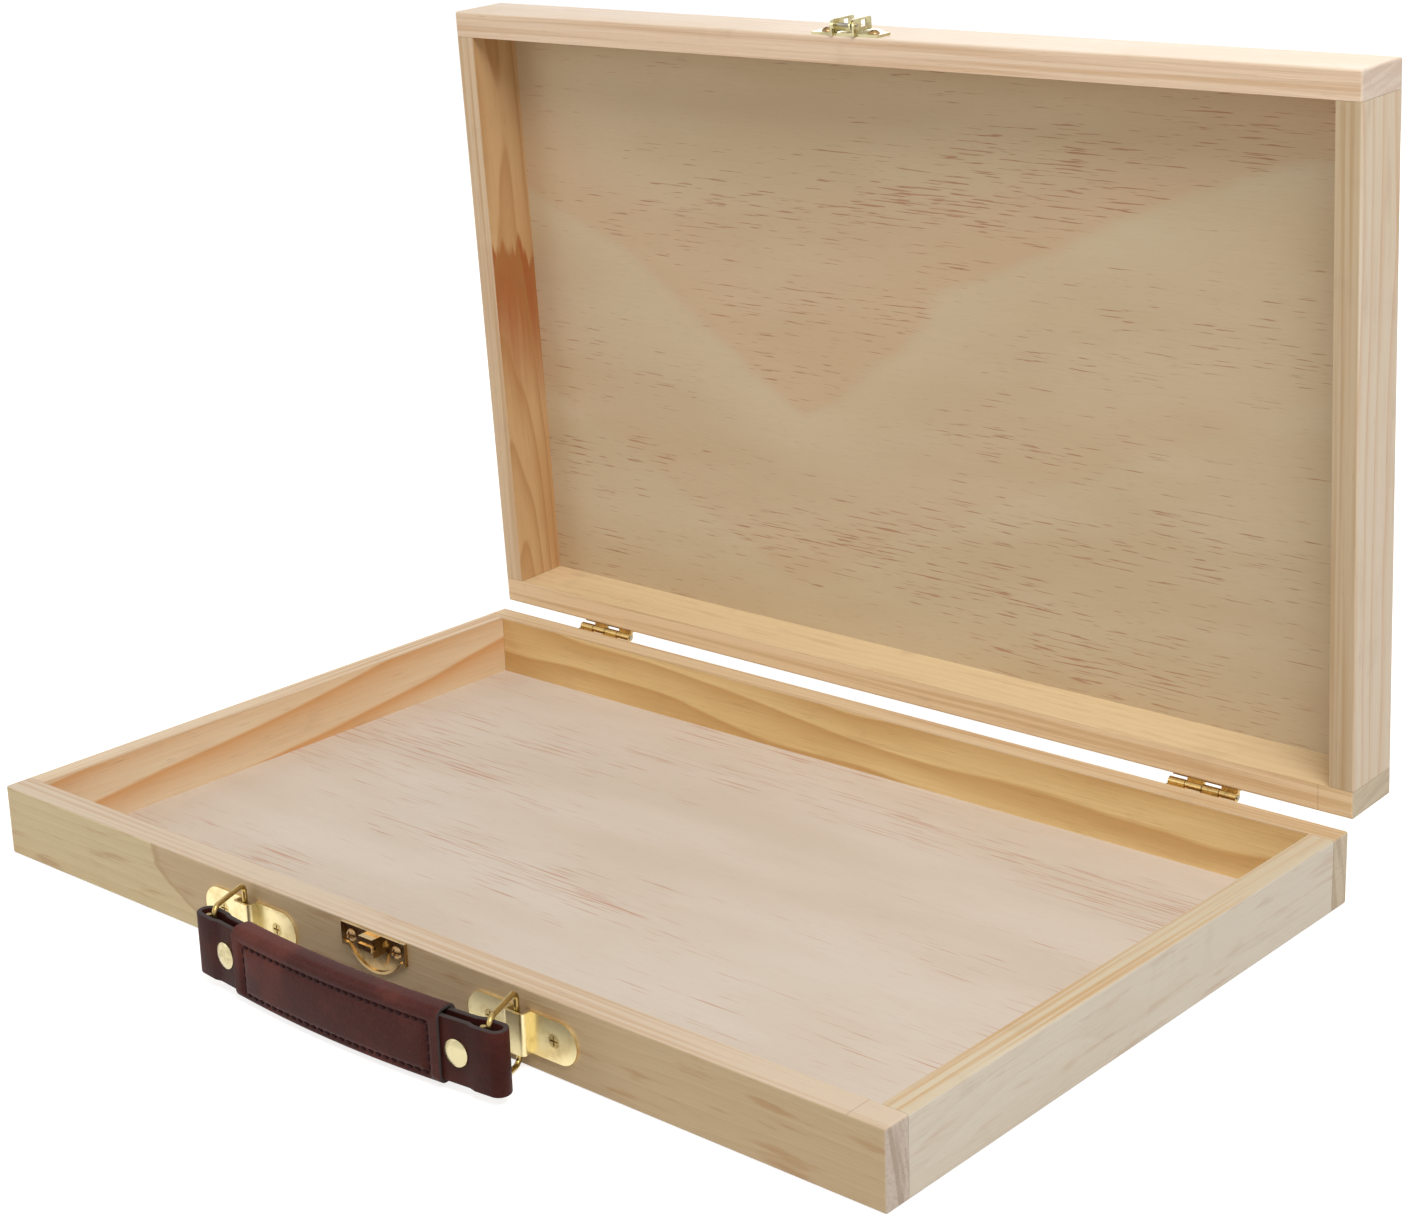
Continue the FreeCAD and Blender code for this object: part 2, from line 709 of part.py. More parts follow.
# Handle
for name, side in (("left", -1), ("right", 1)):
    centre = side * ring_x
    parts["handle_bracket_" + name] = cut_all(bracket(centre), bracket_holes)
    parts["handle_ring_" + name] = ring(centre)
    parts["handle_rivet_" + name] = rivet(side)
parts["handle_bracket_screws"] = Part.makeCompound(stand_all(sunk_screw, bracket_seats, outward_front))
parts["handle_strap"] = strap()
parts["handle_grip_core"] = grip_core()
parts["handle_grip_sleeve"] = grip_sleeve()

# Clasp
round_screw = pan_screw()
parts["catch_plate"] = cut_all(catch(), catch_holes)
parts["catch_screws"] = Part.makeCompound(stand_all(round_screw, catch_seats, outward_front))
parts["latch_plate"] = opened(cut_all(latch(), latch_holes))
parts["latch_screws"] = opened(Part.makeCompound(stand_all(round_screw, latch_seats, outward_front)))
parts["latch_flap"] = opened(flap())
parts["latch_pin"] = opened(rod(flap_pin_radius, across_clasp(ear_outer + flap_pin_overhang), flap_y, flap_z))

os.makedirs("parts", exist_ok=True)
for name, shape in parts.items():
    shape.exportStep("parts/" + name + ".step")
    print(name, len(shape.Solids), round(shape.Volume, 2), shape.isValid())
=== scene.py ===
import math

import bmesh
import bpy
from mathutils import Matrix, Vector


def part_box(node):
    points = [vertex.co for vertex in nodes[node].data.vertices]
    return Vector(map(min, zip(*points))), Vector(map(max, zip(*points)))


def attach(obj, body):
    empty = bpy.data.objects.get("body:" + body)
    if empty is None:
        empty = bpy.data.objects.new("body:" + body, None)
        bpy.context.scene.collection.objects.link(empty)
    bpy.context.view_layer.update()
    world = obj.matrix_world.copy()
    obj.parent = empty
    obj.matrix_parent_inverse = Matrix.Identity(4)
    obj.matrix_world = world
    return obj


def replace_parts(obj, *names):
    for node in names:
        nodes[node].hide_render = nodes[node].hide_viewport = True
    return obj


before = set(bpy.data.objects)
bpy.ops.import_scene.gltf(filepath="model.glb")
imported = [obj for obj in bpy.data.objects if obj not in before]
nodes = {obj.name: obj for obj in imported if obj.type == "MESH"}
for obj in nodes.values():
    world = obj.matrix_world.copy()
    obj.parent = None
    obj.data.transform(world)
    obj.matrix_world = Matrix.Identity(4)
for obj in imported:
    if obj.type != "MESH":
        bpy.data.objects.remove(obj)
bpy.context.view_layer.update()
scene = bpy.context.scene
mm = 0.001

# shared measures of the box, in metres
box = {"length": 0.380, "depth": 0.237, "hingeY": 0.1211, "hingeZ": 0.02475, "lidAngle": math.radians(87.3)}
box["rim"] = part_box("base_front_wall")[1].z


def tone(red, green, blue):
    # display colour to linear
    def one(value):
        value = value / 255
        return value / 12.92 if value <= 0.04045 else ((value + 0.055) / 1.055) ** 2.4
    return (one(red), one(green), one(blue), 1.0)


class Wire:
    # one socket of a node tree, with arithmetic

    def __init__(self, tree, socket):
        self.tree = tree
        self.socket = socket

    def add(self, kind, inputs, output=0, **settings):
        node = self.tree.nodes.new(kind)
        for key, value in settings.items():
            setattr(node, key, value)
        for key, value in inputs.items():
            if isinstance(value, Wire):
                self.tree.links.new(value.socket, node.inputs[key])
            else:
                node.inputs[key].default_value = value
        return Wire(self.tree, node.outputs[output])

    def calc(self, operation, first, second=0.0):
        return self.add("ShaderNodeMath", {0: first, 1: second}, operation=operation)

    def __add__(self, other):
        return self.calc("ADD", self, other)

    def __radd__(self, other):
        return self.calc("ADD", other, self)

    def __sub__(self, other):
        return self.calc("SUBTRACT", self, other)

    def __rsub__(self, other):
        return self.calc("SUBTRACT", other, self)

    def __mul__(self, other):
        return self.calc("MULTIPLY", self, other)

    def __rmul__(self, other):
        return self.calc("MULTIPLY", other, self)

    def __truediv__(self, other):
        return self.calc("DIVIDE", self, other)

    def __rtruediv__(self, other):
        return self.calc("DIVIDE", other, self)

    def __pow__(self, other):
        return self.calc("POWER", self, other)

    def __abs__(self):
        return self.calc("ABSOLUTE", self)

    def frac(self):
        return self.calc("FRACT", self)

    def root(self):
        return self.calc("SQRT", self)

    def step(self, low, high):
        # smooth rise from 0 at low to 1 at high
        return self.add("ShaderNodeMapRange", {"Value": self, "From Min": low, "From Max": high},
                        interpolation_type="SMOOTHSTEP")

    def clip(self):
        return self.add("ShaderNodeClamp", {"Value": self})


class Paint:
    # a material with its object coordinates and a finishing call

    def __init__(self, name):
        self.material = bpy.data.materials.new(name)
        self.material.use_nodes = True
        self.tree = self.material.node_tree
        self.shader = self.tree.nodes["Principled BSDF"]
        self.start = Wire(self.tree, None)
        self.point = self.start.add("ShaderNodeTexCoord", {}, "Object")
        self.x, self.y, self.z = self.split(self.point)

    def split(self, vector):
        return [self.start.add("ShaderNodeSeparateXYZ", {"Vector": vector}, i) for i in range(3)]

    def join(self, x, y, z):
        return self.start.add("ShaderNodeCombineXYZ", {"X": x, "Y": y, "Z": z})

    def noise(self, vector, scale, detail=2.0, rough=0.5):
        return self.start.add("ShaderNodeTexNoise", {"Vector": vector, "Scale": scale, "Detail": detail,
                                                     "Roughness": rough})

    def field(self, point, scales, seed=0.0, shifts=(0, 0, 0), detail=2.0, rough=0.5):
        # noise over stretched coordinates, moved along each axis by its share of the seed
        spots = [axis * scale + seed * shift if shift else axis * scale
                 for axis, scale, shift in zip(point, scales, shifts)]
        return self.noise(self.join(*spots), 1.0, detail, rough)

    def mix(self, factor, first, second):
        return self.start.add("ShaderNodeMix", {0: factor, 6: first, 7: second}, 2, data_type="RGBA")

    def attribute(self, name):
        return self.start.add("ShaderNodeAttribute", {}, "Fac", attribute_name=name)

    def closedLid(self):
        # the lid's own coordinates as if it were shut
        turned = self.start.add("ShaderNodeVectorRotate",
                                {"Vector": self.point, "Center": (0, box["hingeY"], box["hingeZ"]),
                                 "Axis": (1, 0, 0), "Angle": box["lidAngle"]}, rotation_type="AXIS_ANGLE")
        self.x, self.y, self.z = self.split(turned)

    def finish(self, color, rough, height, strength, distance, **constants):
        links = self.tree.links
        links.new(color.socket, self.shader.inputs["Base Color"])
        links.new(rough.socket, self.shader.inputs["Roughness"])
        bump = self.start.add("ShaderNodeBump",
                              {"Height": height, "Strength": strength, "Distance": distance})
        links.new(bump.socket, self.shader.inputs["Normal"])
        for key, value in constants.items():
            self.shader.inputs[key.replace("_", " ")].default_value = value
        return self.material


def dress(names, material):
    for name in names:
        piece = nodes[name]
        piece.data.materials.clear()
        piece.data.materials.append(material)


print("stage: helpers ready")

# pine boards: growth rings round a pith line beside the board; spacing is in millimetres
boards = {
    "base_front_wall": dict(
        along="x", pith=(0.010, -0.050), spacing=5.0, slant=0.018, tilt=0.0, warp=2.4, seed=3.1, sharp=2.0,
        smudge=0.5, early=(222, 201, 158), late=(184, 150, 102), blotch=(204, 164, 106), contrast=0.22,
        rim=(213, 193, 168), rimLate=(196, 164, 130), seam=0.1775,
        end=dict(pale=(206, 190, 176), dark=(146, 120, 100), share=0.55),
        heart=dict(start=-0.110, edge=0.002, hold=0.4, length=0.8, lean=-0.15, sweep=0.022, ragged=0.003,
                   tint=(204, 177, 139), share=0.9, outline=0.45)),
    "base_rear_wall": dict(
        along="x", pith=(0.030, -0.020), spacing=11.0, slant=0.030, tilt=0.0, warp=2.6, seed=8.4, sharp=1.3,
        smudge=0.15, early=(232, 200, 141), late=(184, 128, 56), blotch=(222, 186, 124), contrast=0.72,
        rim=(220, 194, 156), rimLate=(194, 154, 108), seam=None, heart=None,
        end=dict(pale=(208, 192, 168), dark=(134, 102, 76), share=0.35)),
    "base_left_wall": dict(
        along="y", pith=(0.012, -0.020), spacing=13.0, slant=0.040, tilt=-0.075, warp=1.6, seed=5.7,
        sharp=1.8, smudge=0.1, early=(229, 208, 176), late=(208, 142, 70), blotch=(222, 194, 154),
        contrast=0.95, rim=(224, 200, 168), rimLate=(198, 156, 110), seam=None, heart=None),
    "base_right_wall": dict(
        along="y", pith=(0.060, 0.030), spacing=2.4, slant=0.010, tilt=0.0, warp=1.6, seed=1.9, sharp=2.0,
        smudge=0.25, early=(224, 212, 194), late=(202, 184, 158), blotch=(218, 204, 182), contrast=0.28,
        rim=(212, 196, 168), rimLate=(200, 158, 106), seam=None, heart=None),
    "lid_front_wall": dict(
        along="x", pith=(0.024, 0.060), spacing=2.2, slant=0.012, tilt=0.0, warp=0.8, seed=6.3, sharp=3.0,
        smudge=0.1, early=(238, 220, 200), late=(216, 186, 152), blotch=(230, 206, 180), contrast=0.6,
        rim=(238, 208, 177), rimLate=(208, 166, 120), seam=None, heart=None,
        end=dict(pale=(230, 211, 192), dark=(200, 164, 146), share=0.4)),
    "lid_rear_wall": dict(
        along="x", pith=(-0.020, 0.070), spacing=2.8, slant=0.014, tilt=0.0, warp=1.0, seed=2.5, sharp=3.0,
        smudge=0.2, early=(229, 204, 162), late=(202, 164, 112), blotch=(220, 192, 148), contrast=0.3,
        rim=(240, 210, 170), rimLate=(208, 168, 118), seam=0.1775, heart=None,
        end=dict(pale=(208, 192, 166), dark=(156, 118, 88), share=0.25)),
    "lid_left_wall": dict(
        along="y", pith=(0.022, 0.030), spacing=3.2, slant=0.030, tilt=0.0, warp=2.0, seed=7.7, sharp=2.5,
        smudge=0.1, early=(206, 170, 124), late=(172, 122, 70), blotch=(192, 142, 88), contrast=0.8,
        rim=(224, 197, 162), rimLate=(198, 158, 114), seam=None,
        heart=dict(start=-0.030, edge=0.005, hold=0.012, length=0.075, lean=0.3, sweep=0.0, ragged=0.03,
                   tint=(160, 82, 30), share=0.9, outline=0.0)),
    "lid_right_wall": dict(
        along="y", pith=(-0.040, 0.060), spacing=3.6, slant=0.008, tilt=0.0, warp=0.6, seed=4.2, sharp=4.0,
        smudge=0.15, early=(228, 211, 188), late=(204, 158, 110), blotch=(222, 202, 174), contrast=0.75,
        rim=(197, 173, 137), rimLate=(178, 142, 96), seam=None, heart=None),
}
# noise in a board, along the grain, through its thickness and upward
pineFields = {
    "drift": dict(scales=(5, 22, 22), shifts=(1, 0, 0)),
    "fine": dict(scales=(16, 160, 160), shifts=(-1, 0, 0), detail=3.0),
    "fibre": dict(scales=(26, 1500, 1500), shifts=(0, 0, 1), detail=3.0, rough=0.6),
    "pores": dict(scales=(90, 2600, 2600), shifts=(1, 0, 0)),
    "patch": dict(scales=(7, 30, 26), shifts=(1, 0, -1), detail=3.0),
    "ragged": dict(scales=(20, 0, 420), shifts=(0, 1, 0), detail=3.0),
    "streak": dict(scales=(34, 300, 300), shifts=(1, 0, 0), detail=3.0),
    "stripe": dict(scales=(7, 620, 0), shifts=(1, 0, 1)),
    "speck": dict(scales=(20, 900, 900), detail=4.0),
    "soil": dict(scales=(60, 60, 60), detail=4.0),
}
pineLook = dict(
    driftDepth=0.011, fineDepth=0.0008, ringEdge=(0.88, 1.0), patchRange=(0.48, 0.62), patchShare=0.55,
    sweepRange=(0.006, 0.024), outlineIn=(-0.0005, 0.0005), outlineOut=(0.0010, 0.0045),
    outlineTone=(176, 132, 90),
    fibreFrom=0.35, fibreShare=0.5, smudgeRange=(0.54, 0.70), smudgeTone=(176, 126, 78),
    rimRange=(0.0002, 0.0006), stripeRange=(0.42, 0.68), stripeShare=0.75,
    poreRange=(0.66, 0.76), poreShare=0.28, poreTone=(122, 84, 48),
    sawnRange=(0.1893, 0.1899), sawnShare=0.9, endScale=(300, 50, 30), endRange=(0.46, 0.64),
    speckRange=(0.45, 0.7), speckShare=0.5,
    seamRange=(0.00008, 0.00032), seamShare=0.3, seamTone=(124, 92, 62),
    soilRange=(0.58, 0.8), soilShare=0.14, soilTone=(150, 122, 92),
    rough=0.50, fibreRough=0.16, lateRough=-0.06, fibreHeight=0.6, lateHeight=0.4, poreHeight=0.4,
    bump=0.35, bumpDepth=0.0004)


def heartwood(paint, look, early, grain, z, ragged):
    # begins at a ragged, outlined edge and fades along the grain
    heart = look["heart"]
    fall = box["rim"] - z
    run = grain - heart["start"] + fall * heart["lean"] + (ragged - 0.5) * heart["ragged"]
    run = run - fall.step(*pineLook["sweepRange"]) * heart["sweep"]
    inside = run.step(0.0, heart["edge"]) * (1 - run.step(heart["hold"], heart["length"]))
    early = paint.mix(inside * heart["share"], early, tone(*heart["tint"]))
    outline = run.step(*pineLook["outlineIn"]) * (1 - run.step(*pineLook["outlineOut"]))
    return paint.mix(outline * heart["outline"], early, tone(*pineLook["outlineTone"]))


def endGrain(paint, look, color, onRim):
    # the sawn ends of the long boards
    end = look["end"]
    x, y, z = paint.x, paint.y, paint.z
    sawn = abs(x).step(*pineLook["sawnRange"]) * (1 - onRim)
    speck = paint.field((x, y, z), **pineFields["speck"]).step(*pineLook["speckRange"])
    # rings cut across, as leaning bands
    thickness, slope, upward = pineLook["endScale"]
    band = paint.noise(paint.join(look["seed"], y * thickness + z * slope, z * upward), 1.0)
    band = band.step(*pineLook["endRange"])
    raw = paint.mix(band * end["share"], tone(*end["pale"]), tone(*end["dark"]))
    raw = paint.mix(speck * pineLook["speckShare"] * end["share"], raw, tone(*end["dark"]))
    return paint.mix(sawn * pineLook["sawnShare"], color, raw)


def pine(name, look):
    paint = Paint("pine_" + name)
    onLid = name.startswith("lid_")
    if onLid:
        paint.closedLid()
    x, y, z = paint.x, paint.y, paint.z
    grain, side = (x, y) if look["along"] == "x" else (y, x)
    wall = box["depth"] / 2 if look["along"] == "x" else box["length"] / 2
    sign = -1 if name.endswith(("front_wall", "left_wall")) else 1
    local = side - sign * wall

    def field(kind):
        return paint.field((grain, local, z), seed=look["seed"], **pineFields[kind])

    off = (field("drift") - 0.5) * (pineLook["driftDepth"] * look["warp"])
    off = off + (field("fine") - 0.5) * pineLook["fineDepth"]
    across = local - look["pith"][0] * -sign + grain * look["slant"] + off
    up = z - look["pith"][1] + grain * look["tilt"] + off
    radius = (across * across + up * up).root()
    ring = (radius / (look["spacing"] * mm)).frac()
    late = ring ** look["sharp"] * (1 - ring.step(*pineLook["ringEdge"]))
    fibre = field("fibre")
    pores = field("pores")
    patch = field("patch").step(*pineLook["patchRange"])
    early = paint.mix(patch * pineLook["patchShare"], tone(*look["early"]), tone(*look["blotch"]))
    if look["heart"]:
        early = heartwood(paint, look, early, grain, z, field("ragged"))
    color = paint.mix(late * look["contrast"], early, tone(*look["late"]))
    color = paint.mix((fibre - pineLook["fibreFrom"]) * pineLook["fibreShare"], color, tone(*look["late"]))
    streak = field("streak").step(*pineLook["smudgeRange"])
    color = paint.mix(streak * look["smudge"], color, tone(*pineLook["smudgeTone"]))
    # the planed rim where base and lid meet is cut along the rings
    rimGap = (z - box["rim"]) if onLid else (box["rim"] - z)
    onRim = 1 - rimGap.step(*pineLook["rimRange"])
    stripe = field("stripe").step(*pineLook["stripeRange"]) * pineLook["stripeShare"]
    color = paint.mix(onRim, color, paint.mix(stripe, tone(*look["rim"]), tone(*look["rimLate"])))
    poreMark = pores.step(*pineLook["poreRange"]) * pineLook["poreShare"]
    color = paint.mix(poreMark, color, tone(*pineLook["poreTone"]))
    if look["along"] == "x":
        color = endGrain(paint, look, color, onRim)
    if look["seam"]:
        line = 1 - abs(x - look["seam"]).step(*pineLook["seamRange"])
        color = paint.mix(line * onRim * pineLook["seamShare"], color, tone(*pineLook["seamTone"]))
    # slight soiling in patches
    soil = paint.field((x, y, z), **pineFields["soil"]).step(*pineLook["soilRange"])
    color = paint.mix(soil * pineLook["soilShare"], color, tone(*pineLook["soilTone"]))
    rough = pineLook["rough"] + fibre * pineLook["fibreRough"] + late * pineLook["lateRough"]
    height = fibre * pineLook["fibreHeight"] + late * pineLook["lateHeight"]
    height = height + pores * pineLook["poreHeight"]
    return paint.finish(color, rough, height, pineLook["bump"], pineLook["bumpDepth"])


for name, look in boards.items():
    dress([name], pine(name, look))
print("stage: boards")

# plywood panels: rotary-cut veneer with short red-brown flecks along the grain
panels = {
    "base_bottom_panel": dict(
        pale=(217, 204, 190), warm=(201, 183, 160), fleck=(186, 124, 92), seed=2.3, dash=(26, 1300, 1),
        crowd=0.66, fleckFrom=0.635, fleckDepth=0.6, flame=None),
    "lid_top_panel": dict(
        pale=(207, 188, 156), warm=(192, 166, 127), fleck=(160, 88, 56), seed=9.2, dash=(58, 1350, 1),
        crowd=0.44, fleckFrom=0.618, fleckDepth=0.56,
        flame=dict(at=(-0.052, 0.019), lean=0.50, edge=0.004, glow=0.04, wander=(0.04, 0.05),
                   inner=(214, 178, 140), outer=(218, 202, 169), repeats=((0.0, 1.0), (0.075, 0.4)))),
}
veneerFields = {
    "roll": dict(scales=(6, 12, 1), shifts=(1, 0, 1), detail=3.0),
    "cloud": dict(scales=(9, 34, 1), shifts=(-1, 0, 0), detail=4.0),
    "crowd": dict(scales=(6, 30, 1), shifts=(1, 1, 0), detail=4.0),
    "fibre": dict(scales=(30, 1300, 20), shifts=(0, 0, 1), detail=3.0, rough=0.6),
    "tiny": dict(scales=(130, 3000, 1), shifts=(0, 1, 0)),
}
veneerLook = dict(
    cloudRange=(0.36, 0.66), cloudShare=0.4,
    innerShare=0.45, riseShare=0.8, borderShare=0.4, borderQuiet=0.22,
    fibreFrom=0.3, fibreShare=0.28, dashRough=0.55, fleckWidth=0.07, tinyRange=(0.58, 0.78), tinyShare=0.24,
    rough=0.56, fibreRough=0.14, fleckRough=0.08, fibreHeight=0.5, tinyHeight=0.3, fleckHeight=0.8,
    bump=0.3, bumpDepth=0.0003)


def flameFigure(paint, flame, color, crowd, roll):
    # warm inside, with a pale outer border free of flecks, repeated more faintly below
    acrossWander, downWander = flame["wander"]
    reach = abs(paint.x - flame["at"][0] + (roll - 0.5) * acrossWander)
    depth = paint.y - flame["at"][1] + reach * flame["lean"] + (roll - 0.5) * downWander
    for shift, share in flame["repeats"]:
        below = depth - shift
        inside = 1 - below.step(-flame["edge"], flame["edge"])
        rise = 1 - below.step(-2 * flame["glow"], 0.0)
        border = (1 - inside) * (1 - below.step(0.0, flame["glow"]))
        warmth = inside * (1 - rise * veneerLook["riseShare"]) * veneerLook["innerShare"] * share
        color = paint.mix(warmth, color, tone(*flame["inner"]))
        color = paint.mix(border * veneerLook["borderShare"] * share, color, tone(*flame["outer"]))
        crowd = crowd - border * veneerLook["borderQuiet"] * share
    return color, crowd


def veneer(name, look):
    paint = Paint("plywood_" + name)
    if name.startswith("lid_"):
        paint.closedLid()
    point = (paint.x, paint.y, paint.z)
    seed = look["seed"]

    def field(kind):
        return paint.field(point, seed=seed, **veneerFields[kind])

    cloud = field("cloud").step(*veneerLook["cloudRange"])
    color = paint.mix(cloud * veneerLook["cloudShare"], tone(*look["pale"]), tone(*look["warm"]))
    crowd = field("crowd")
    if look["flame"]:
        color, crowd = flameFigure(paint, look["flame"], color, crowd, field("roll"))
    fibre = field("fibre")
    fibreMark = (fibre - veneerLook["fibreFrom"]) * veneerLook["fibreShare"]
    color = paint.mix(fibreMark, color, tone(*look["warm"]))
    dash = paint.field(point, look["dash"], seed=seed, shifts=(1, 0, 0), rough=veneerLook["dashRough"])
    fleckFull = look["fleckFrom"] + veneerLook["fleckWidth"]
    mark = (dash + (crowd - 0.5) * look["crowd"]).step(look["fleckFrom"], fleckFull)
    color = paint.mix(mark * look["fleckDepth"], color, tone(*look["fleck"]))
    tiny = field("tiny")
    tinyMark = tiny.step(*veneerLook["tinyRange"]) * veneerLook["tinyShare"]
    color = paint.mix(tinyMark, color, tone(*look["fleck"]))
    rough = veneerLook["rough"] + fibre * veneerLook["fibreRough"] + mark * veneerLook["fleckRough"]
    height = fibre * veneerLook["fibreHeight"] + tiny * veneerLook["tinyHeight"]
    height = height - mark * veneerLook["fleckHeight"]
    return paint.finish(color, rough, height, veneerLook["bump"], veneerLook["bumpDepth"])


for name, look in panels.items():
    dress([name], veneer(name, look))
print("stage: panels")

# metals, each with the pieces that wear it
metals = {
    "brassSheet": dict(
        bright=(242, 226, 176), dull=(206, 182, 124), rough=0.28, brush=(60, 900, 900), slot="brass",
        pieces=["handle_bracket_left", "handle_bracket_right"]),
    # the catch brass is drawn darker and more pinkish-brown than the other brass: painted reflection of the
    # dark leather handle
    "brassCatch": dict(
        bright=(196, 166, 116), dull=(116, 86, 54), rough=0.14, brush=(300, 300, 300), slot="brass",
        pieces=["catch_plate"]),
    "brassLatch": dict(
        bright=(204, 194, 152), dull=(116, 104, 70), rough=0.16, brush=(300, 300, 300), slot="brass",
        pieces=["latch_plate", "latch_flap"]),
    "brassHinge": dict(
        bright=(198, 166, 106), dull=(122, 92, 52), rough=0.16, brush=(300, 300, 300), slot="brass",
        pieces=["hinge_left_base_leaf", "hinge_left_lid_leaf",
                "hinge_right_base_leaf", "hinge_right_lid_leaf"]),
    "brassWire": dict(
        bright=(190, 164, 104), dull=(122, 96, 54), rough=0.24, brush=(900, 900, 60), slot="brass",
        pieces=["handle_ring_left", "handle_ring_right"]),
    "brassRivet": dict(
        bright=(212, 200, 158), dull=(140, 122, 84), rough=0.20, brush=(300, 300, 300), slot="brass",
        pieces=["handle_rivet_left", "handle_rivet_right"]),
    "brassCatchScrew": dict(
        bright=(168, 136, 94), dull=(96, 70, 46), rough=0.24, brush=(700, 700, 700), slot="brass",
        pieces=["catch_screws", "latch_screws"]),
    "brassScrew": dict(
        bright=(206, 184, 128), dull=(122, 100, 62), rough=0.30, brush=(700, 700, 700), slot="brass",
        pieces=["hinge_base_screws", "hinge_lid_screws", "handle_bracket_screws"]),
    "steelPin": dict(
        bright=(170, 164, 150), dull=(96, 90, 80), rough=0.34, brush=(60, 900, 900), slot="steel",
        pieces=["hinge_left_pin", "hinge_right_pin", "latch_pin"]),
}
metalFields = {
    "streak": dict(detail=3.0, rough=0.6),
    "tarnish": dict(scales=(220, 220, 220), detail=4.0, rough=0.6),
    "spot": dict(scales=(1400, 1400, 1400)),
}
metalLook = dict(
    tarnishRange=(0.45, 0.72), tarnishShare=0.5, tarnishRough=0.12,
    spotRange=(0.66, 0.78), spotShare=0.35, spotHeight=0.5,
    streakRough=0.10, bump=0.08, bumpDepth=0.0002)


def metal(name, look):
    paint = Paint(name)
    point = (paint.x, paint.y, paint.z)
    streak = paint.field(point, look["brush"], **metalFields["streak"])
    tarnish = paint.field(point, **metalFields["tarnish"]).step(*metalLook["tarnishRange"])
    spot = paint.field(point, **metalFields["spot"]).step(*metalLook["spotRange"])
    color = paint.mix(tarnish * metalLook["tarnishShare"], tone(*look["bright"]), tone(*look["dull"]))
    color = paint.mix(spot * metalLook["spotShare"], color, tone(*look["dull"]))
    rough = look["rough"] + streak * metalLook["streakRough"] + tarnish * metalLook["tarnishRough"]
    height = streak + spot * metalLook["spotHeight"]
    return paint.finish(color, rough, height, metalLook["bump"], metalLook["bumpDepth"], Metallic=1.0)


for name, look in metals.items():
    dress(look["pieces"], metal(name, look))
print("stage: metals")

# leather
leathers = {
    "strapLeather": dict(dark=(52, 23, 19), light=(90, 45, 38), rough=0.36, grain=900),
    "sleeveLeather": dict(dark=(66, 32, 28), light=(112, 62, 54), rough=0.34, grain=1000),
}
leatherLook = dict(
    crease=dict(scale=260.0, detail=4.0, rough=0.6), creaseRange=(0.55, 0.75), creaseShare=0.4,
    wear=dict(scale=60.0, detail=3.0), wearRange=(0.42, 0.7), wearShare=0.5, grainShare=0.25,
    cutTone=(72, 65, 63), cutShare=0.9, grainRough=0.12, wearRough=0.08, cutRough=0.2,
    grainHeight=0.6, creaseHeight=0.6, bump=0.25, bumpDepth=0.0003, specular=0.08)


def hide(name, look):
    paint = Paint(name)
    grain = paint.start.add("ShaderNodeTexVoronoi",
                            {"Vector": paint.point, "Scale": look["grain"]}, "Distance")
    crease = paint.noise(paint.point, **leatherLook["crease"])
    wear = paint.noise(paint.point, **leatherLook["wear"]).step(*leatherLook["wearRange"])
    cut = paint.attribute("cutEdge")
    worn = wear * leatherLook["wearShare"] + grain * leatherLook["grainShare"]
    color = paint.mix(worn, tone(*look["dark"]), tone(*look["light"]))
    creased = crease.step(*leatherLook["creaseRange"]) * leatherLook["creaseShare"]
    color = paint.mix(creased, color, tone(*look["dark"]))
    color = paint.mix(cut * leatherLook["cutShare"], color, tone(*leatherLook["cutTone"]))
    rough = look["rough"] + grain * leatherLook["grainRough"] + wear * leatherLook["wearRough"]
    rough = rough + cut * leatherLook["cutRough"]
    height = grain * leatherLook["grainHeight"] + crease * leatherLook["creaseHeight"]
    return paint.finish(color, rough, height, leatherLook["bump"], leatherLook["bumpDepth"],
                        Specular_IOR_Level=leatherLook["specular"])


leatherPaint = {name: hide(name, look) for name, look in leathers.items()}


def newPiece(name, work, material, body):
    mesh = bpy.data.meshes.new(name)
    work.to_mesh(mesh)
    work.free()
    piece = bpy.data.objects.new(name, mesh)
    scene.collection.objects.link(piece)
    mesh.materials.append(material)
    for face in mesh.polygons:
        face.use_smooth = True
    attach(piece, body)
    return piece


# handle: each piece is drawn straight about the middle of the grip, then bowed away from the box
handle = dict(bow=math.radians(5.5), bendHalf=0.0425, gripThick=0.0086)
gripLow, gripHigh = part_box("handle_grip_sleeve")
gripMid = Vector(((gripLow.x + gripHigh.x) / 2, gripLow.y + handle["gripThick"] / 2,
                  (gripLow.z + gripHigh.z) / 2))
gripTall = (gripHigh.z - gripLow.z) / 2


def bowed(point):
    radius = handle["bendHalf"] / handle["bow"]
    reach = max(-handle["bendHalf"], min(handle["bendHalf"], point.x))
    turn = reach / radius
    rest = point.x - reach
    x = (radius - point.y) * math.sin(turn) + rest * math.cos(turn)
    y = radius - (radius - point.y) * math.cos(turn) + rest * math.sin(turn)
    return gripMid + Vector((x, y, point.z))


def markCut(work, isCut):
    # bare edges of the leather, for its colour
    cut = work.loops.layers.float_color.new("cutEdge")
    for face in work.faces:
        share = 1.0 if isCut(face) else 0.0
        for loop in face.loops:
            loop[cut] = (share, share, share, 1)


def softEdges(work, isRim, width):
    # rounds the edges between the rim faces and the rest
    rim = {face for face in work.faces if isRim(face)}
    edges = [edge for edge in work.edges if len([face for face in edge.link_faces if face in rim]) == 1]
    bmesh.ops.bevel(work, geom=edges, offset=width, segments=3, profile=0.5, affect="EDGES", material=-1)
    work.normal_update()


